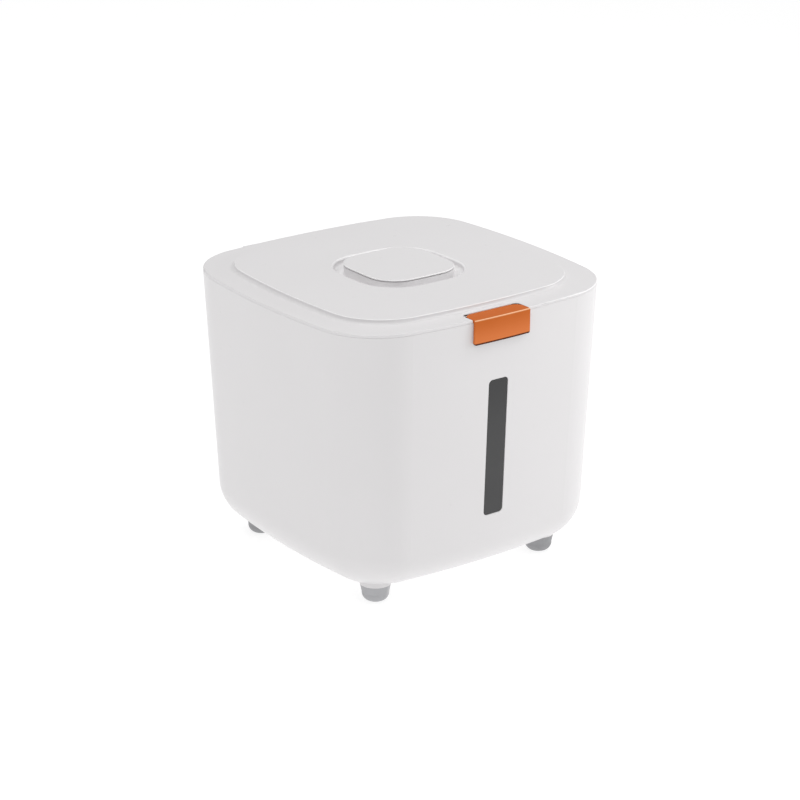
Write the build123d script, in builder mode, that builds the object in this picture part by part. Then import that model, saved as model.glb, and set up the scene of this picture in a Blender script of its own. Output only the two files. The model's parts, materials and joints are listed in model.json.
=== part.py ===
from build123d import *
import os
from math import cos, radians, sin, sqrt, tan

# Rice storage container. A bowed square tub stands on four rubber feet. A hinged lid closes it and a flip
# latch holds the lid at the front. A knob in the lid's well lifts out with a basket for a drying sachet.
# Millimetres, +Z up, front towards -Y, origin on the floor under the centre of the tub.

# Outline of the tub and lid, seen from above
rim_half = 130.0  # from the centre to the middle of a side, at the rim
side_radius = 677.0  # the sides bow gently outwards
corner_radius = 54.3

# Tub
rim_height = 226.6
underside_height = 14.7
wall_draft = 2.4  # degrees from upright
corner_draft_share = 0.6  # the corners tighten by this share of the draft on the way down
tub_wall = 3.0
tub_floor = 4.0
base_rounding = 34.0
seam_rounding = 0.4

# Feet
foot_inset = 49.2  # from the sides of the rim to the feet's centres
collar_radius = 12.5
collar_drop = 1.0
foot_step = 0.3  # the rubber is slimmer than its collar
foot_toe_radius = 7.0
foot_shoulder_height = 6.5
foot_shoulder_step = 1.5
foot_stem_radius = 4.0
foot_stem_roof = 1.8  # of the tub's floor, left above the stem's hole
stem_fit = 0.05
stem_end_gap = 0.4

# Level window in the front wall
window_width = 18.4
window_lift = 50.6  # from the underside of the tub to the window
window_drop = 49.3  # from the rim down to the window
window_corner = 3.5
window_fit = 0.2
window_recess = 0.5
window_flange_border = 5.0
window_flange_thickness = 2.0
window_seal_thickness = 1.0
window_seal_margin = 0.5
window_land_rise = 1.0
window_land_border = 7.0

# Hinge at the back
hinge_setback = 3.0  # from the middle of the rim's back to the axis
hinge_drop = 3.5  # from the rim down to the axis
knuckle_radius = 3.5
knuckle_width = 18.0
knuckle_start = 34.0  # from the middle of the back to a lid knuckle's inner face
ear_width = 6.0
ear_height = 15.0
hinge_side_gap = 0.3
hinge_pin_radius = 1.5
hinge_arm_root = 4.0
hinge_arm_margin = 0.2

# Fits of the steel pins
pin_seat_fit = 0.02
pin_running_fit = 0.06

# Lid shell
flange_thickness = 2.2
flange_rounding = 1.0
border_width = 21.2  # from the lid's edge to the plateau
plateau_corner = 48.2
plateau_rise = 3.7
plateau_cove = 2.8
plateau_rounding = 0.7
lid_wall = 2.2
skirt_inset = 5.5
skirt_wall = 2.2
skirt_depth = 10.6
seal_lip_height = 1.2
seal_lip_reach = 0.9
boss_radius = 4.0
boss_corner_place = 75.0
boss_side_place = 95.0

# Well and knob in the middle of the lid
well_half = 46.3
well_side_radius = 300.0
well_corner = 33.0
well_depth = 7.0
well_floor_rounding = 4.7
well_rim_rounding = 2.1
knob_gap = 8.1  # finger room between the knob and the side of the well
knob_corner = 23.8
knob_rise = 2.7  # above the plateau
knob_wall = 2.6
knob_rounding = 0.7
knob_lip_height = 1.1
knob_lip_reach = 0.3
knob_groove_height = 0.8  # the groove parts the lip from the knob's side
knob_groove_depth = 1.7
collar_bore_radius = 27.0
collar_wall = 2.2
spigot_gap = 1.0
spigot_wall = 2.4
spigot_length = 11.5  # below the floor of the well
knob_seal_radius = 0.8
knob_seal_gap = 0.3
knob_seal_depth = 5.0  # below the floor of the well
knob_seal_play = 0.15

# Basket for the drying sachet
basket_gap = 0.4
basket_wall = 1.6
basket_floor_thickness = 1.6
basket_height = 30.0
basket_top_depth = 3.0  # below the floor of the well
basket_slots = 12
basket_slot_width = 3.0
basket_slot_margin = 5.0
basket_floor_holes = 6
basket_floor_hole_radius = 2.0
basket_floor_hole_place = 12.0
lug_count = 3
lug_width = 6.0
lug_height = 1.8
lug_reach = 0.9
lug_gap = 0.35
lug_depth = 9.0  # from the floor of the well to the middle of the lugs
unlock_turn = 40.0  # degrees from locked to released

# Liner, seal and screws under the lid
liner_thickness = 2.2
liner_inset = 4.5
liner_hole_gap = 1.0
seal_height = 3.6
seal_gap = 0.35
seal_play = 0.2
screw_radius = 1.3
screw_length = 9.0
screw_head_radius = 2.8
screw_head_height = 1.8
screw_hole_gap = 0.4
screw_fit = 0.05
screw_end_gap = 1.0

# Flip latch
latch_width = 52.0
latch_thickness = 1.9
latch_gap = 0.45
latch_drop = 17.6  # from the rim down to the latch's lower edge
latch_back_corner = 7.0
latch_lower_corner = 2.2
latch_fold_rounding = 1.2
latch_edge_rounding = 1.2
latch_barrel_radius = 1.3
latch_axis_inset = 13.1  # from the middle of the rim's front to the axis
latch_pin_radius = 0.65
latch_side_gap = 0.4
latch_pocket_corner = 4.0
latch_pocket_play = 0.6
latch_pocket_front = 1.0
latch_tray_wall = 2.4
latch_tray_floor = 2.0
latch_pin_end_gap = 0.5
catch_bead_rise = 0.3
catch_bead_height = 2.0
catch_bead_lift = 2.0
catch_groove_width = 40.0
catch_groove_depth = 0.8
catch_groove_play = 0.6

# Heights and places that follow from the sizes above
draft_slope = tan(radians(wall_draft))
flange_top = rim_height + flange_thickness
plateau_top = flange_top + plateau_rise
plateau_half = rim_half - border_width
plateau_underside = plateau_top - lid_wall
well_floor = plateau_top - well_depth
knob_top = plateau_top + knob_rise
knob_half = well_half - knob_gap
liner_top = rim_height - skirt_depth
liner_bottom = liner_top - liner_thickness
seal_top = liner_top + seal_height
foot_place = rim_half - foot_inset
collar_bottom = underside_height - collar_drop
foot_stem_length = collar_drop + tub_floor - foot_stem_roof - stem_end_gap
hinge_y = rim_half + hinge_setback
hinge_z = rim_height - hinge_drop
latch_axis_y = latch_axis_inset - rim_half
latch_axis_z = flange_top - latch_barrel_radius
latch_barrel_half = latch_width / 2 - latch_back_corner
latch_underside = flange_top - latch_thickness
latch_bottom = rim_height - latch_drop
catch_bead_bottom = latch_bottom + catch_bead_lift
catch_bead_top = catch_bead_bottom + catch_bead_height
spigot_radius = collar_bore_radius - spigot_gap
spigot_bore = spigot_radius - spigot_wall
basket_radius = spigot_bore - basket_gap
basket_top = well_floor - basket_top_depth
basket_bottom = basket_top - basket_height
lug_radius = basket_radius + lug_reach
lug_middle = well_floor - lug_depth
foot_signs = {"front_left": (-1, -1), "front_right": (1, -1), "rear_left": (-1, 1), "rear_right": (1, 1)}
screw_places = [(x * boss_corner_place, y * boss_corner_place) for x in (-1, 1) for y in (-1, 1)]
screw_places += [(x * boss_side_place, y * boss_side_place) for x, y in ((-1, 0), (1, 0), (0, -1), (0, 1))]

os.makedirs("parts", exist_ok=True)


def bowed_square(height, half, side, corner):
    """A level outline with four bowed sides and round corners, centred on the Z axis."""
    arc_centre = half - side
    tip = (arc_centre + sqrt(2 * side**2 - arc_centre**2)) / 2
    tips = [(tip, -tip), (tip, tip), (-tip, tip), (-tip, -tip)]
    middles = [(half, 0), (0, half), (-half, 0), (0, -half)]
    with BuildSketch(Plane.XY.offset(height)) as outline:
        with BuildLine():
            for start, middle, end in zip(tips, middles, tips[1:] + tips[:1]):
                ThreePointArc(start, middle, end)
        make_face()
        fillet(outline.vertices(), corner)
    return outline.sketch


def rim_outline(height, inset):
    """The outline of the rim, moved inwards by inset."""
    return bowed_square(height, rim_half - inset, side_radius - inset, corner_radius - inset)


def wall_outline(height, inset):
    """The outline of the drafted wall at a height, moved inwards by inset."""
    draft = (rim_height - height) * draft_slope
    corner = corner_radius - inset - draft * corner_draft_share
    return bowed_square(height, rim_half - inset - draft, side_radius - inset - draft, corner)


def plateau_outline(height, inset):
    """The outline of the raised plateau of the lid, moved inwards by inset."""
    return bowed_square(height, plateau_half - inset, side_radius - inset, plateau_corner - inset)


def well_outline(height, inset):
    """The outline of the well in the lid, moved inwards by inset."""
    return bowed_square(height, well_half - inset, well_side_radius - inset, well_corner - inset)


def knob_outline(height, inset):
    """The outline of the knob, moved inwards by inset."""
    return bowed_square(height, knob_half - inset, well_side_radius - inset, knob_corner - inset)


def level_face(part, height):
    """The level face of a part that lies nearest to a height."""
    return part.faces().filter_by(Axis.Z).sort_by(lambda face: abs(face.center().Z - height))[0]


def drafted_block(low, high, inset, rounding):
    """A solid block inside the drafted wall, with a rounded base."""
    with BuildPart() as block:
        loft([wall_outline(low, inset), wall_outline(high, inset)])
        fillet(block.faces().sort_by(Axis.Z)[0].edges(), rounding)
    return block.part


# Plane of the window on the outer face of the front wall, facing outwards
window_bottom = underside_height + window_lift
window_top = rim_height - window_drop
window_middle = (window_bottom + window_top) / 2
window_height = (window_top - window_bottom) / cos(radians(wall_draft))
window_face_y = (rim_height - window_middle) * draft_slope - rim_half
window_plane = Plane(
    origin=(0, window_face_y, window_middle),
    x_dir=(1, 0, 0),
    z_dir=(0, -cos(radians(wall_draft)), -sin(radians(wall_draft))),
)
window_land_depth = tub_wall + window_land_rise
window_flange_depth = window_land_depth + window_seal_thickness

# Inner faces of the hinge ears on the tub, by their lowest X
ear_inner = knuckle_start - hinge_side_gap - ear_width
ear_outer = knuckle_start + knuckle_width + hinge_side_gap
ear_starts = [ear_inner, ear_outer, -ear_inner - ear_width, -ear_outer - ear_width]
knuckle_starts = [knuckle_start, -knuckle_start - knuckle_width]
hinge_pin_length = ear_outer + ear_width - ear_inner

# Tub
with BuildPart() as tub:
    add(drafted_block(underside_height, rim_height, 0, base_rounding))
    fillet(level_face(tub, rim_height).edges(), seam_rounding)
    with BuildSketch(Plane.XY.offset(collar_bottom)):
        with GridLocations(2 * foot_place, 2 * foot_place, 2, 2):
            Circle(collar_radius)
    extrude(amount=collar_drop + base_rounding / 2)
    for start in ear_starts:
        with BuildSketch(Plane.YZ.offset(start)):
            with Locations((hinge_y, hinge_z)):
                Circle(knuckle_radius)
            with Locations((rim_half - tub_wall, hinge_z - ear_height / 2)):
                Rectangle(tub_wall, ear_height)
            make_hull()
        extrude(amount=ear_width)
    with BuildSketch(Plane.YZ.offset(-ear_outer - ear_width)):
        with Locations((hinge_y, hinge_z)):
            Circle(hinge_pin_radius + pin_seat_fit)
    extrude(amount=2 * (ear_outer + ear_width), mode=Mode.SUBTRACT)
    # Space for the rice
    add(
        drafted_block(underside_height + tub_floor, rim_height, tub_wall, base_rounding - tub_wall),
        mode=Mode.SUBTRACT,
    )
    # Blind holes for the stems of the feet
    with BuildSketch(Plane.XY.offset(collar_bottom)):
        with GridLocations(2 * foot_place, 2 * foot_place, 2, 2):
            Circle(foot_stem_radius + stem_fit)
    extrude(amount=foot_stem_length + stem_end_gap, mode=Mode.SUBTRACT)
    # Flat land inside the window, and the slot through it
    with BuildSketch(window_plane.offset(-window_land_depth)):
        RectangleRounded(
            window_width + 2 * window_land_border,
            window_height + 2 * window_land_border,
            window_corner + window_land_border,
        )
    extrude(amount=window_land_rise + tub_wall / 2)
    with BuildSketch(window_plane):
        RectangleRounded(window_width, window_height, window_corner)
    extrude(amount=2 * window_land_depth, both=True, mode=Mode.SUBTRACT)
    # Groove that the bead of the latch snaps over
    catch_middle = (catch_bead_bottom + catch_bead_top) / 2
    catch_face_y = (rim_height - catch_middle) * draft_slope - rim_half
    with BuildSketch(Plane.XZ.offset(-catch_face_y)):
        with Locations((0, catch_middle)):
            Rectangle(catch_groove_width, catch_bead_height + 2 * catch_groove_play)
    extrude(amount=catch_groove_depth, both=True, mode=Mode.SUBTRACT)
tub.part.label = "tub"
export_step(tub.part, "parts/tub.step")

# Window strip: a pad that fills the slot, on a flange behind the seal
with BuildPart() as window_strip:
    with BuildSketch(window_plane.offset(-window_flange_depth - window_flange_thickness)):
        RectangleRounded(
            window_width + 2 * window_flange_border,
            window_height + 2 * window_flange_border,
            window_corner + window_flange_border,
        )
    extrude(amount=window_flange_thickness)
    with BuildSketch(window_plane.offset(-window_flange_depth)):
        RectangleRounded(
            window_width - 2 * window_fit,
            window_height - 2 * window_fit,
            window_corner - window_fit,
        )
    extrude(amount=window_flange_depth - window_recess)
window_strip.part.label = "window_strip"
export_step(window_strip.part, "parts/window_strip.step")

# Seal between the window's flange and its land
with BuildPart() as window_seal:
    with BuildSketch(window_plane.offset(-window_flange_depth)):
        RectangleRounded(
            window_width + 2 * window_flange_border,
            window_height + 2 * window_flange_border,
            window_corner + window_flange_border,
        )
        RectangleRounded(
            window_width + 2 * window_seal_margin,
            window_height + 2 * window_seal_margin,
            window_corner + window_seal_margin,
            mode=Mode.SUBTRACT,
        )
    extrude(amount=window_seal_thickness)
window_seal.part.label = "window_seal"
export_step(window_seal.part, "parts/window_seal.step")


def rubber_foot(x, y):
    """A round rubber foot with a stem that pushes into its collar."""
    top_radius = collar_radius - foot_step
    shoulder_radius = top_radius - foot_shoulder_step
    cheek = (foot_toe_radius + shoulder_radius) / 2 + foot_shoulder_step / 2
    with BuildPart() as foot:
        with BuildSketch(Plane(origin=(x, y, 0), x_dir=(1, 0, 0), z_dir=(0, -1, 0))):
            with BuildLine():
                Line((0, 0), (foot_toe_radius, 0))
                ThreePointArc(
                    (foot_toe_radius, 0),
                    (cheek, foot_shoulder_height / 3),
                    (shoulder_radius, foot_shoulder_height),
                )
                Polyline(
                    (shoulder_radius, foot_shoulder_height),
                    (top_radius, collar_bottom),
                    (foot_stem_radius, collar_bottom),
                    (foot_stem_radius, collar_bottom + foot_stem_length),
                    (0, collar_bottom + foot_stem_length),
                    (0, 0),
                )
            make_face()
        revolve(axis=Axis((x, y, 0), (0, 0, 1)))
    return foot


for place, (x_sign, y_sign) in foot_signs.items():
    foot = rubber_foot(x_sign * foot_place, y_sign * foot_place)
    foot.part.label = f"foot_{place}"
    export_step(foot.part, f"parts/foot_{place}.step")

# Hinge pins
for place, start in {"left": -ear_outer - ear_width, "right": ear_inner}.items():
    with BuildPart() as hinge_pin:
        with BuildSketch(Plane.YZ.offset(start)):
            with Locations((hinge_y, hinge_z)):
                Circle(hinge_pin_radius)
        extrude(amount=hinge_pin_length)
    hinge_pin.part.label = f"hinge_pin_{place}"
    export_step(hinge_pin.part, f"parts/hinge_pin_{place}.step")

# Lid shell
with BuildPart() as lid_shell:
    # Flange on the rim and the raised plateau
    extrude(rim_outline(rim_height, 0), amount=flange_thickness)
    extrude(plateau_outline(flange_top, 0), amount=plateau_rise)
    fillet(level_face(lid_shell, flange_top).inner_wires()[0].edges(), plateau_cove)
    fillet(level_face(lid_shell, plateau_top).edges(), plateau_rounding)
    fillet(level_face(lid_shell, flange_top).outer_wire().edges(), flange_rounding)
    fillet(level_face(lid_shell, rim_height).edges(), seam_rounding)
    # Skirt inside the tub, with a lip above its seal, and the hollow under the plateau
    extrude(rim_outline(liner_top, skirt_inset), amount=skirt_depth)
    extrude(rim_outline(seal_top + seal_play, skirt_inset - seal_lip_reach), amount=seal_lip_height)
    extrude(rim_outline(liner_top, skirt_inset + skirt_wall), amount=skirt_depth, mode=Mode.SUBTRACT)
    extrude(
        plateau_outline(rim_height, lid_wall),
        amount=plateau_underside - rim_height,
        mode=Mode.SUBTRACT,
    )
    # Opening over the well
    extrude(well_outline(plateau_underside, 0), amount=lid_wall, mode=Mode.SUBTRACT)
    fillet(level_face(lid_shell, plateau_top).inner_wires()[0].edges(), well_rim_rounding)
    # Bosses for the liner's screws
    with BuildSketch(Plane.XY.offset(liner_top)):
        with Locations(screw_places):
            Circle(boss_radius)
    extrude(amount=plateau_underside - liner_top)
    with BuildSketch(Plane.XY.offset(liner_top)):
        with Locations(screw_places):
            Circle(screw_radius + screw_fit)
    extrude(amount=screw_length - liner_thickness + screw_end_gap, mode=Mode.SUBTRACT)
    # Tray and pocket for the latch
    pocket_width = latch_width + 2 * latch_side_gap
    pocket_back = latch_axis_y + latch_barrel_radius + latch_side_gap
    pocket_front = latch_axis_y - latch_barrel_radius - latch_pocket_front
    pocket_floor = latch_axis_z - latch_barrel_radius - latch_pocket_play
    tray_floor = pocket_floor - latch_tray_floor
    tray_back = pocket_back + latch_tray_wall
    tray_front = skirt_inset + skirt_wall / 2 - rim_half
    with BuildSketch(Plane.XY.offset(tray_floor)):
        with Locations((0, tray_back)):
            tray_width = pocket_width + 2 * latch_tray_wall
            Rectangle(tray_width, tray_back - tray_front, align=(Align.CENTER, Align.MAX))
    extrude(amount=rim_height + flange_thickness / 2 - tray_floor)
    with BuildSketch(Plane.XY.offset(rim_height)) as pocket_plan:
        with Locations((0, pocket_back)):
            Rectangle(pocket_width, 3 * latch_axis_inset, align=(Align.CENTER, Align.MAX))
        fillet(pocket_plan.vertices().group_by(Axis.Y)[-1], latch_pocket_corner)
    extrude(amount=plateau_top - rim_height, mode=Mode.SUBTRACT)
    with BuildSketch(Plane.XY.offset(pocket_floor)):
        with Locations((0, pocket_back)):
            Rectangle(pocket_width, pocket_back - pocket_front, align=(Align.CENTER, Align.MAX))
    extrude(amount=rim_height - pocket_floor, mode=Mode.SUBTRACT)
    tray_half = pocket_width / 2 + latch_tray_wall
    with BuildSketch(Plane.YZ.offset(-tray_half)):
        with Locations((latch_axis_y, latch_axis_z)):
            Circle(latch_pin_radius + pin_seat_fit)
    extrude(amount=2 * tray_half, mode=Mode.SUBTRACT)
    # Hinge knuckles on arms that step over the rim
    for start in knuckle_starts:
        with BuildSketch(Plane.YZ.offset(start)):
            with Locations((hinge_y, hinge_z)):
                Circle(knuckle_radius)
            with Locations((hinge_y - hinge_setback - hinge_arm_root / 2, rim_height)):
                Rectangle(
                    hinge_arm_root,
                    flange_thickness - hinge_arm_margin,
                    align=(Align.MAX, Align.MIN),
                )
            make_hull()
            with Locations((hinge_y - knuckle_radius, rim_height)):
                Rectangle(rim_half, rim_height, align=(Align.MAX, Align.MAX), mode=Mode.SUBTRACT)
        extrude(amount=knuckle_width)
    with BuildSketch(Plane.YZ.offset(-ear_outer)):
        with Locations((hinge_y, hinge_z)):
            Circle(hinge_pin_radius + pin_running_fit)
    extrude(amount=2 * ear_outer, mode=Mode.SUBTRACT)
lid_shell.part.label = "lid_shell"
export_step(lid_shell.part, "parts/lid_shell.step")

# Well under the opening in the lid, with a collar that guides the knob's spigot
with BuildPart() as knob_well:
    extrude(well_outline(well_floor - lid_wall, -lid_wall), amount=plateau_underside - well_floor + lid_wall)
    extrude(well_outline(well_floor, 0), amount=plateau_underside - well_floor, mode=Mode.SUBTRACT)
    fillet(level_face(knob_well, well_floor).edges(), well_floor_rounding)
    with BuildSketch(Plane.XY.offset(liner_top)):
        Circle(collar_bore_radius + collar_wall)
    extrude(amount=well_floor - liner_top)
    with BuildSketch(Plane.XY.offset(liner_top)):
        Circle(collar_bore_radius)
    extrude(amount=well_floor - liner_top, mode=Mode.SUBTRACT)
knob_well.part.label = "knob_well"
export_step(knob_well.part, "parts/knob_well.step")

# Liner that closes the lid from below
with BuildPart() as lid_liner:
    extrude(rim_outline(liner_bottom, liner_inset), amount=liner_thickness)
    with BuildSketch(Plane.XY.offset(liner_bottom)):
        Circle(collar_bore_radius + liner_hole_gap)
        with Locations(screw_places):
            Circle(screw_radius + screw_hole_gap)
    extrude(amount=liner_thickness, mode=Mode.SUBTRACT)
lid_liner.part.label = "lid_liner"
export_step(lid_liner.part, "parts/lid_liner.step")

# Seal round the skirt of the lid
with BuildPart() as lid_seal:
    seal_reach = tub_wall + (rim_height - liner_top) * draft_slope + seal_gap
    extrude(rim_outline(liner_top, seal_reach), amount=seal_height)
    extrude(rim_outline(liner_top, skirt_inset), amount=seal_height, mode=Mode.SUBTRACT)
lid_seal.part.label = "lid_seal"
export_step(lid_seal.part, "parts/lid_seal.step")

# Screws that hold the liner
with BuildPart() as liner_screws:
    with BuildSketch(Plane.XY.offset(liner_bottom - screw_head_height)):
        with Locations(screw_places):
            Circle(screw_head_radius)
    extrude(amount=screw_head_height)
    with BuildSketch(Plane.XY.offset(liner_bottom)):
        with Locations(screw_places):
            Circle(screw_radius)
    extrude(amount=screw_length)
liner_screws.part.label = "liner_screws"
export_step(liner_screws.part, "parts/liner_screws.step")

# Pin of the latch
with BuildPart() as latch_pin:
    with BuildSketch(Plane.YZ.offset(latch_pin_end_gap - tray_half)):
        with Locations((latch_axis_y, latch_axis_z)):
            Circle(latch_pin_radius)
    extrude(amount=2 * (tray_half - latch_pin_end_gap))
latch_pin.part.label = "latch_pin"
export_step(latch_pin.part, "parts/latch_pin.step")

# Flip latch: a top plate from the pin to the fold, and a front plate that follows the bowed wall
with BuildPart() as latch:
    latch_height = flange_top - latch_bottom
    extrude(rim_outline(latch_bottom, -latch_gap - latch_thickness), amount=latch_height)
    fillet(level_face(latch, latch_bottom).edges(), latch_edge_rounding)
    fillet(level_face(latch, flange_top).edges(), latch_fold_rounding)
    extrude(rim_outline(latch_bottom, -latch_gap), amount=catch_bead_lift, mode=Mode.SUBTRACT)
    extrude(
        rim_outline(catch_bead_bottom, catch_bead_rise - latch_gap),
        amount=catch_bead_height,
        mode=Mode.SUBTRACT,
    )
    extrude(
        rim_outline(catch_bead_top, -latch_gap),
        amount=latch_underside - catch_bead_top,
        mode=Mode.SUBTRACT,
    )
    # The top plate ends over the pin with round corners, and a barrel between them holds the pin
    with BuildSketch(Plane.XY.offset(latch_bottom)) as latch_plan:
        with Locations((0, latch_axis_y)):
            Rectangle(latch_width, 2 * latch_axis_inset, align=(Align.CENTER, Align.MAX))
        fillet(latch_plan.vertices().group_by(Axis.Y)[-1], latch_back_corner)
    extrude(amount=latch_height, mode=Mode.INTERSECT)
    with BuildSketch(Plane.YZ.offset(-latch_barrel_half)):
        with Locations((latch_axis_y, latch_axis_z)):
            Circle(latch_barrel_radius)
    extrude(amount=2 * latch_barrel_half)
    with BuildSketch(Plane.YZ.offset(-latch_width / 2)):
        with Locations((latch_axis_y, latch_axis_z)):
            Circle(latch_pin_radius + pin_running_fit)
    extrude(amount=latch_width, mode=Mode.SUBTRACT)
    with BuildSketch(Plane.XZ) as latch_front:
        with Locations((0, latch_bottom)):
            Rectangle(latch_width, latch_height, align=(Align.CENTER, Align.MIN))
        fillet(latch_front.vertices().group_by(Axis.Y)[0], latch_lower_corner)
    extrude(amount=2 * rim_half, mode=Mode.INTERSECT)
latch.part.label = "latch"
export_step(latch.part, "parts/latch.step")

# Knob cap with a round spigot that carries the basket
with BuildPart() as knob_cap:
    lip_bottom = knob_top - knob_lip_height
    groove_bottom = lip_bottom - knob_groove_height
    extrude(knob_outline(lip_bottom, 0), amount=knob_lip_height)
    fillet(level_face(knob_cap, knob_top).edges(), knob_rounding)
    extrude(knob_outline(groove_bottom, knob_groove_depth), amount=knob_groove_height)
    extrude(knob_outline(well_floor, knob_lip_reach), amount=groove_bottom - well_floor)
    extrude(
        knob_outline(well_floor, knob_lip_reach + knob_wall),
        amount=knob_top - knob_wall - well_floor,
        mode=Mode.SUBTRACT,
    )
    with BuildSketch(Plane.XY.offset(well_floor - spigot_length)):
        Circle(spigot_radius)
        Circle(spigot_bore, mode=Mode.SUBTRACT)
    extrude(amount=knob_top - knob_wall / 2 - well_floor + spigot_length)
    # Groove for the seal ring
    seal_middle = well_floor - knob_seal_depth
    seal_ring_radius = collar_bore_radius - knob_seal_gap - knob_seal_radius
    groove_half = knob_seal_radius + knob_seal_play
    with BuildSketch(Plane.XY.offset(seal_middle - groove_half)):
        Circle(spigot_radius)
        Circle(seal_ring_radius - groove_half, mode=Mode.SUBTRACT)
    extrude(amount=2 * groove_half, mode=Mode.SUBTRACT)
    # Groove that the lugs of the basket turn in, and the slots that let them in
    with BuildSketch(Plane.XY.offset(lug_middle - lug_height / 2 - lug_gap)):
        Circle(lug_radius + lug_gap)
    extrude(amount=lug_height + 2 * lug_gap, mode=Mode.SUBTRACT)
    with BuildSketch(Plane.XY.offset(well_floor - spigot_length)):
        with PolarLocations(spigot_bore, lug_count, start_angle=unlock_turn):
            Rectangle(2 * (lug_radius + lug_gap - spigot_bore), lug_width + 2 * lug_gap)
    extrude(amount=spigot_length - lug_depth, mode=Mode.SUBTRACT)
knob_cap.part.label = "knob_cap"
export_step(knob_cap.part, "parts/knob_cap.step")

# Seal ring on the spigot
with BuildPart() as knob_seal:
    with BuildSketch(Plane.XZ):
        with Locations((seal_ring_radius, seal_middle)):
            Circle(knob_seal_radius)
    revolve(axis=Axis.Z)
knob_seal.part.label = "knob_seal"
export_step(knob_seal.part, "parts/knob_seal.step")

# Slotted sleeve of the basket for the drying sachet
with BuildPart() as desiccant_basket:
    sleeve_bottom = basket_bottom + basket_floor_thickness
    with BuildSketch(Plane.XY.offset(sleeve_bottom)):
        Circle(basket_radius)
    extrude(amount=basket_top - sleeve_bottom)
    with BuildSketch(Plane.XY.offset(lug_middle - lug_height / 2)):
        with PolarLocations(basket_radius, lug_count):
            Rectangle(2 * lug_reach, lug_width)
    extrude(amount=lug_height)
    with BuildSketch(Plane.XY.offset(sleeve_bottom)):
        Circle(basket_radius - basket_wall)
    extrude(amount=basket_top - sleeve_bottom, mode=Mode.SUBTRACT)
    slot_bottom = basket_bottom + basket_slot_margin
    slot_top = well_floor - spigot_length - basket_slot_margin
    with BuildSketch(Plane.XY.offset(slot_bottom)):
        with PolarLocations(basket_radius, basket_slots):
            Rectangle(4 * basket_wall, basket_slot_width)
    extrude(amount=slot_top - slot_bottom, mode=Mode.SUBTRACT)
desiccant_basket.part.label = "desiccant_basket"
export_step(desiccant_basket.part, "parts/desiccant_basket.step")

# Round floor under the sleeve of the basket
with BuildPart() as basket_floor:
    with BuildSketch(Plane.XY.offset(basket_bottom)):
        Circle(basket_radius)
        with PolarLocations(basket_floor_hole_place, basket_floor_holes):
            Circle(basket_floor_hole_radius, mode=Mode.SUBTRACT)
    extrude(amount=basket_floor_thickness)
basket_floor.part.label = "basket_floor"
export_step(basket_floor.part, "parts/basket_floor.step")
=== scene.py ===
import json
import math

import bpy
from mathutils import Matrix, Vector


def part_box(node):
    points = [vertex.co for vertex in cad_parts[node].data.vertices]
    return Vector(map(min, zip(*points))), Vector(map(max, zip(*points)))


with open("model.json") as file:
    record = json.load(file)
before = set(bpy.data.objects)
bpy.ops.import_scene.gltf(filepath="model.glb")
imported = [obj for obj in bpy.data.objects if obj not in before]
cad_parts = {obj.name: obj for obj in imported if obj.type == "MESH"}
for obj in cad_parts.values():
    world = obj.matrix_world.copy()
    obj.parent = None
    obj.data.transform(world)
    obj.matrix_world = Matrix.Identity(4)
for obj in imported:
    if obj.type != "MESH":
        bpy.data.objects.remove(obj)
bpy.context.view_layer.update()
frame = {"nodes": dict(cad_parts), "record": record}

# Rice storage container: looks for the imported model. Metres, +Z up, front towards -Y.

# Camera, fitted to the photograph's frame of 800 by 800 pixels
CAMERA_AZIMUTH = -36.05
CAMERA_ELEVATION = 20.68
CAMERA_DISTANCE = 1.918
CAMERA_TARGET = Vector((0.0009, -0.0007, 0.1209))
FOCAL_PIXELS = 2400.0
FRAME_PIXELS = 800.0
SENSOR_WIDTH = 36.0
NEAR_LIMIT = 0.01
FAR_LIMIT = 100.0

# Light: the surroundings and the floor give most of it. The key and top lamps light the lid, the side lamp
# brightens the right of the front, and the edge lamp glints along the right edges of the lid. A lamp has a name, a
# place, a size and its watts.
SURROUNDINGS = 0.53
FLOOR_SIZE = 8.0
FLOOR_GLOW = 0.76
LAMP_AIM = (0.0, 0.0, 0.14)
LAMPS = [
    ("key_lamp", (-1.00, -0.80, 2.00), 1.2, 8.0),
    ("side_lamp", (0.75, -0.45, 0.40), 0.30, 1.55),
    ("top_lamp", (-0.3, 0.5, 2.0), 2.0, 11.0),
    ("edge_lamp", (0.83, -0.53, 1.30), 0.25, 3.0),
]

# In the painted marks below, a pair of numbers says where a mask starts and where it is full.

# Painted highlights on the white plastic: bands under the top edges of the lid and the knob, and along the right
# of the rim
EDGED_NODES = ["lid_shell", "knob_cap"]
EDGE_BAND = 0.0009
EDGE_SOFT = 0.0001
EDGE_FACING = (0.10, 0.97, 0.20)  # the least and the most that an edge faces up, and the softness of both
RIM_HIGHLIGHT_START = 0.02
RIM_HIGHLIGHT_FULL = 0.09

# Painted light: the floor of the well round the knob is lightened against its shade
WELL_REACH = 0.064
WELL_FULL = 0.9  # share of the reach's square
WELL_DEPTH = 0.0085
WELL_SOFT = 0.0004
WELL_FACING = (0.2, 0.6)

# Painted shadow in the back corners of the latch's pocket, measured from the latch
CORNER_WIDTH = 0.006
CORNER_WIDTH_SOFT = 0.00005  # of the distance's square
CORNER_DEPTH = 0.010
CORNER_DEPTH_SOFT = 0.001
CORNER_HEIGHT = 0.006
CORNER_HEIGHT_SOFT = 0.0002
CORNER_COVER = 0.0003
POCKET_MARGIN = 0.002

# Painted light on the latch: a painted highlight along its fold, and painted shade on its lower edge
FOLD_BAND = 0.0012
FOLD_FACING = (0.12, 0.40)
UNDERSIDE_SHADE_BAND = 0.0020
UNDERSIDE_SHADE_FULL = 0.6  # share of the band

# Painted light on the feet: the front left one, where X + Y is low, is painted paler, and its right side gets a
# painted highlight.
PAINTED_LIT_FOOT = (-0.08, -0.14)
PAINTED_LIT_SIDE = (0.1, 0.8)


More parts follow.
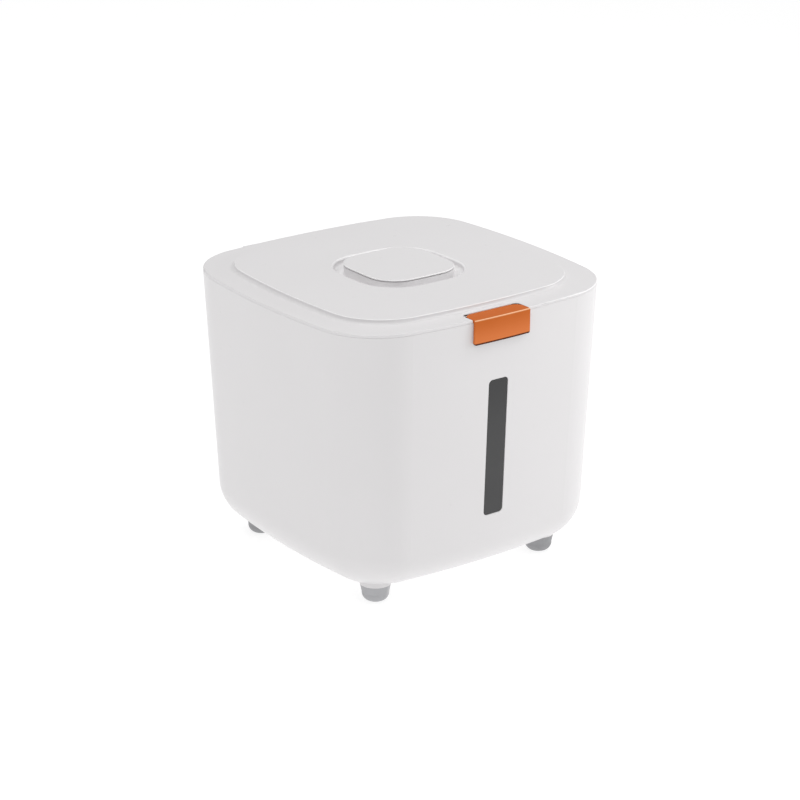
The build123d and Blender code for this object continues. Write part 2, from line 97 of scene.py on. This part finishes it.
class Wire:
    """A socket of a finish. Operators on it add Math nodes."""

    def __init__(self, finish, socket):
        self.finish = finish
        self.socket = socket

    def math(self, operation, first, second):
        return self.finish.node("ShaderNodeMath", {"operation": operation}, {0: first, 1: second})

    def __add__(self, other):
        return self.math("ADD", self, other)

    __radd__ = __add__

    def __mul__(self, other):
        return self.math("MULTIPLY", self, other)

    __rmul__ = __mul__


class Finish:
    """A material and its nodes."""

    def __init__(self, name):
        self.material = bpy.data.materials.new(name)
        self.material.use_nodes = True
        self.tree = self.material.node_tree
        self.tree.nodes.clear()

    def node(self, kind, settings=None, inputs=None, output=0):
        """Adds a node, sets it, feeds its sockets and gives back one of its outputs."""
        made = self.tree.nodes.new(kind)
        for key, value in (settings or {}).items():
            setattr(made, key, value)
        for key, value in (inputs or {}).items():
            if isinstance(value, Wire):
                self.tree.links.new(value.socket, made.inputs[key])
            else:
                made.inputs[key].default_value = value
        return Wire(self, made.outputs[output])

    def place(self):
        return self.node("ShaderNodeTexCoord", output="Object")

    def noise(self, scale, detail):
        """Smooth noise from 0 to 1, with a scale in features per metre."""
        return self.node("ShaderNodeTexNoise", None, {"Vector": self.place(), "Scale": scale, "Detail": detail})

    def blend(self, factor, first, second):
        """A colour between two colours."""
        sockets = {"Factor": factor, 6: first, 7: second}
        return self.node("ShaderNodeMix", {"data_type": "RGBA"}, sockets, 2)

    def axis(self, vector, name):
        """One part of a vector: X, Y or Z."""
        return self.node("ShaderNodeSeparateXYZ", None, {"Vector": vector}, name)

    def spot(self):
        """Where the surface lies in the frame: X, Y and Z."""
        return [self.axis(self.place(), name) for name in "XYZ"]

    def facing(self, name):
        """How far the surface of the piece faces along X, Y or Z, from -1 to 1."""
        return self.axis(self.node("ShaderNodeTexCoord", output="Normal"), name)

    def ramp(self, value, low, high):
        """0 at low, 1 at high and smooth between them."""
        sockets = {"Value": value, "From Min": low, "From Max": high}
        return self.node("ShaderNodeMapRange", {"interpolation_type": "SMOOTHSTEP"}, sockets)

    def band(self, value, low, high, soft):
        """1 between low and high, with soft ends inside them, and 0 elsewhere."""
        return self.ramp(value, low, low + soft) * self.ramp(value, high, high - soft)

    def bump(self, height, strength, distance):
        return self.node("ShaderNodeBump", None, {"Height": height, "Strength": strength, "Distance": distance})

    def surface(self, inputs):
        shader = self.node("ShaderNodeBsdfPrincipled", None, inputs)
        output = self.tree.nodes.new("ShaderNodeOutputMaterial")
        self.tree.links.new(shader.socket, output.inputs["Surface"])
        return self.material


def painted_edge_highlights(finish):
    """1 on the top edges that get a painted highlight, and 0 elsewhere."""
    across, _, height = finish.spot()
    rim_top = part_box("latch")[1][2]
    rim = finish.band(height, rim_top - EDGE_BAND, rim_top + EDGE_SOFT, EDGE_SOFT)
    edges = rim * finish.ramp(across, RIM_HIGHLIGHT_START, RIM_HIGHLIGHT_FULL)
    for name in EDGED_NODES:
        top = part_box(name)[1][2]
        edges = edges + finish.band(height, top - EDGE_BAND, top + EDGE_BAND, EDGE_BAND / 2)
    return edges * finish.band(finish.facing("Z"), *EDGE_FACING)


def painted_well_light(finish):
    """1 on the floor of the well round the knob, where painted light goes, and 0 elsewhere."""
    across, along, height = finish.spot()
    lid_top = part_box("lid_shell")[1][2]
    reach = WELL_REACH ** 2
    middle = finish.ramp(across * across + along * along, reach, reach * WELL_FULL)
    floor = finish.band(height, lid_top - WELL_DEPTH, lid_top, WELL_SOFT)
    return middle * floor * finish.ramp(finish.facing("Z"), *WELL_FACING)


def painted_pocket_shadow(finish):
    """1 in the back corners of the latch's pocket, where painted shadow goes, and 0 elsewhere."""
    across, along, height = finish.spot()
    side, back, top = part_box("latch")[1]
    inner = (side - CORNER_WIDTH) ** 2
    outer = (side + POCKET_MARGIN) ** 2
    ends = finish.band(across * across, inner, outer, CORNER_WIDTH_SOFT)
    rear = finish.band(along, back - CORNER_DEPTH, back + POCKET_MARGIN, CORNER_DEPTH_SOFT)
    return ends * rear * finish.band(height, top - CORNER_HEIGHT, top - CORNER_COVER, CORNER_HEIGHT_SOFT)


def white_plastic():
    """Satin white polypropylene with a fine mould texture, painted highlights on its top edges, painted light on
    the well floor and painted shadow in the back corners of the latch's pocket.
    """
    finish = Finish("white_plastic")
    flow = finish.noise(11.0, 3.0)
    mottle = finish.noise(140.0, 2.0)
    grain = finish.noise(2400.0, 1.0)
    ripple = finish.noise(260.0, 1.0)
    colour = finish.blend(flow, (0.755, 0.741, 0.747, 1.0), (0.780, 0.766, 0.773, 1.0))
    # Painted highlight: the top edges of the lid and the knob, and the right of the rim, are lightened
    colour = finish.blend(painted_edge_highlights(finish), colour, (0.970, 0.960, 0.965, 1.0))
    # Painted light: the floor of the well round the knob is lightened
    colour = finish.blend(painted_well_light(finish), colour, (0.920, 0.910, 0.915, 1.0))
    # Painted shadow: the back corners of the latch's pocket are darkened
    colour = finish.blend(painted_pocket_shadow(finish), colour, (0.100, 0.050, 0.030, 1.0))
    texture = grain * 0.6 + ripple * 0.4
    return finish.surface({
        "Base Color": colour,
        "Roughness": 0.24 + mottle * 0.06 + grain * 0.05,
        "Normal": finish.bump(texture, 0.12, 0.0001),
        "IOR": 1.49,
    })


def orange_plastic():
    """Semi-gloss orange plastic, lighter towards the latch's lower end, with a painted highlight along its fold
    and painted shade on its lower edge.
    """
    finish = Finish("orange_plastic")
    flow = finish.noise(60.0, 3.0)
    grain = finish.noise(2600.0, 1.0)
    low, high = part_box("latch")
    height = finish.axis(finish.place(), "Z")
    up = finish.facing("Z")
    forward = finish.facing("Y") * -1.0
    painted_fold_highlight = finish.ramp(up * forward, *FOLD_FACING) * finish.ramp(height, high[2] - FOLD_BAND, high[2])
    painted_underside_shade = finish.ramp(height, low[2] + UNDERSIDE_SHADE_BAND, low[2] + UNDERSIDE_SHADE_BAND * UNDERSIDE_SHADE_FULL)
    lighter_below = finish.ramp(height, high[2], low[2])
    colour = finish.blend(flow, (0.560, 0.134, 0.027, 1.0), (0.600, 0.150, 0.033, 1.0))
    # Lighter towards the latch's lower end
    colour = finish.blend(lighter_below, colour, (0.720, 0.205, 0.062, 1.0))
    # Painted highlight: pale along the latch's fold
    colour = finish.blend(painted_fold_highlight, colour, (0.950, 0.600, 0.360, 1.0))
    # Painted shade: the latch's lower edge is darkened
    colour = finish.blend(painted_underside_shade, colour, (0.070, 0.016, 0.005, 1.0))
    return finish.surface({
        "Base Color": colour,
        "Roughness": 0.42 + grain * 0.10,
        "Normal": finish.bump(grain, 0.10, 0.0001),
        "Specular IOR Level": 0.03,
    })


def smoked_plastic():
    """Dark polished window strip, a little darker towards its upper end."""
    finish = Finish("smoked_plastic")
    low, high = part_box("window_strip")
    haze = finish.noise(35.0, 3.0)
    wave = finish.noise(90.0, 1.0)
    colour = finish.blend(haze, (0.030, 0.030, 0.031, 1.0), (0.044, 0.044, 0.045, 1.0))
    upper = finish.ramp(finish.axis(finish.place(), "Z"), (low[2] + high[2]) / 2, high[2])
    colour = finish.blend(upper, colour, (0.020, 0.020, 0.021, 1.0))
    return finish.surface({
        "Base Color": colour,
        "Roughness": 0.14 + haze * 0.10,
        "Normal": finish.bump(wave, 0.08, 0.0003),
        "IOR": 1.5,
    })


def grey_rubber():
    """Matt grey rubber of the feet, with painted light on the front left one: paler overall and lighter on its
    right side.
    """
    finish = Finish("grey_rubber")
    mottle = finish.noise(180.0, 3.0)
    grain = finish.noise(1800.0, 2.0)
    colour = finish.blend(mottle, (0.310, 0.310, 0.322, 1.0), (0.350, 0.350, 0.362, 1.0))
    across, along, _ = finish.spot()
    painted_lit_foot = finish.ramp(across + along, *PAINTED_LIT_FOOT)
    painted_side_light = painted_lit_foot * finish.ramp(finish.facing("X"), *PAINTED_LIT_SIDE)
    # Painted light: the front left foot is paler
    colour = finish.blend(painted_lit_foot, colour, (0.450, 0.450, 0.465, 1.0))
    # Painted highlight: the right side of that foot is lighter
    colour = finish.blend(painted_side_light, colour, (0.640, 0.640, 0.650, 1.0))
    return finish.surface({
        "Base Color": colour,
        "Roughness": 0.62 + grain * 0.18,
        "Normal": finish.bump(grain, 0.25, 0.0002),
    })


def clear_silicone():
    """Milky silicone of the seals."""
    finish = Finish("clear_silicone")
    mottle = finish.noise(120.0, 3.0)
    grain = finish.noise(1500.0, 1.0)
    colour = finish.blend(mottle, (0.58, 0.58, 0.57, 1.0), (0.66, 0.66, 0.65, 1.0))
    return finish.surface({
        "Base Color": colour,
        "Roughness": 0.40 + grain * 0.15,
        "Normal": finish.bump(grain, 0.12, 0.0001),
    })


def steel():
    """Drawn steel of the pins and screws."""
    finish = Finish("steel")
    scratch = finish.noise(900.0, 4.0)
    colour = finish.blend(scratch, (0.52, 0.52, 0.53, 1.0), (0.66, 0.66, 0.67, 1.0))
    return finish.surface({
        "Base Color": colour,
        "Metallic": 1.0,
        "Roughness": 0.24 + scratch * 0.18,
        "Normal": finish.bump(scratch, 0.10, 0.00005),
    })


FINISHES = {
    "white_plastic": white_plastic(),
    "orange_plastic": orange_plastic(),
    "smoked_plastic": smoked_plastic(),
    "grey_rubber": grey_rubber(),
    "clear_silicone": clear_silicone(),
    "steel": steel(),
}


def dress_nodes():
    """Gives every CAD node the finish of its material slot."""
    slots = {row["node"]: row["material_slot"] for row in frame["record"]["subparts"]}
    for name, node in frame["nodes"].items():
        node.data.materials.clear()
        node.data.materials.append(FINISHES[slots[name]])


def studio():
    """White surroundings, a pale floor that also glows a little, and soft lamps."""
    world = bpy.data.worlds.new("studio")
    bpy.context.scene.world = world
    world.use_nodes = True
    surroundings = world.node_tree.nodes["Background"].inputs
    surroundings["Color"].default_value = (1.0, 1.0, 1.0, 1.0)
    surroundings["Strength"].default_value = SURROUNDINGS
    bpy.ops.object.select_all(action="DESELECT")
    bpy.ops.mesh.primitive_plane_add(size=FLOOR_SIZE, location=(0, 0, 0))
    floor = bpy.context.object
    floor.name = "floor"
    paper = Finish("floor_paper")
    tone = paper.noise(3.0, 2.0)
    floor.data.materials.append(paper.surface({
        "Base Color": paper.blend(tone, (0.345, 0.345, 0.345, 1.0), (0.355, 0.355, 0.355, 1.0)),
        "Roughness": 0.9,
        "Emission Color": (1.0, 1.0, 1.0, 1.0),
        "Emission Strength": FLOOR_GLOW,
    }))
    for name, place, size, watts in LAMPS:
        soft_light(name, place, LAMP_AIM, size, watts)


def soft_light(name, place, aim, size, watts):
    """A square lamp aimed at a point."""
    lamp = bpy.data.lights.new(name, "AREA")
    lamp.size = size
    lamp.energy = watts
    holder = bpy.data.objects.new(name, lamp)
    bpy.context.scene.collection.objects.link(holder)
    holder.location = place
    holder.rotation_euler = (Vector(aim) - Vector(place)).to_track_quat("-Z", "Y").to_euler()


def camera():
    """The photograph's viewpoint."""
    azimuth = math.radians(CAMERA_AZIMUTH)
    elevation = math.radians(CAMERA_ELEVATION)
    level = math.cos(elevation)
    back = Vector((math.sin(azimuth) * level, -math.cos(azimuth) * level, math.sin(elevation)))
    data = bpy.data.cameras.new("photo_camera")
    data.sensor_width = SENSOR_WIDTH
    data.lens = FOCAL_PIXELS / FRAME_PIXELS * SENSOR_WIDTH
    data.clip_start = NEAR_LIMIT
    data.clip_end = FAR_LIMIT
    holder = bpy.data.objects.new("photo_camera", data)
    bpy.context.scene.collection.objects.link(holder)
    holder.location = CAMERA_TARGET + back * CAMERA_DISTANCE
    holder.rotation_euler = (-back).to_track_quat("-Z", "Y").to_euler()
    bpy.context.scene.camera = holder


dress_nodes()
studio()
camera()
bpy.context.scene.view_settings.view_transform = "Standard"
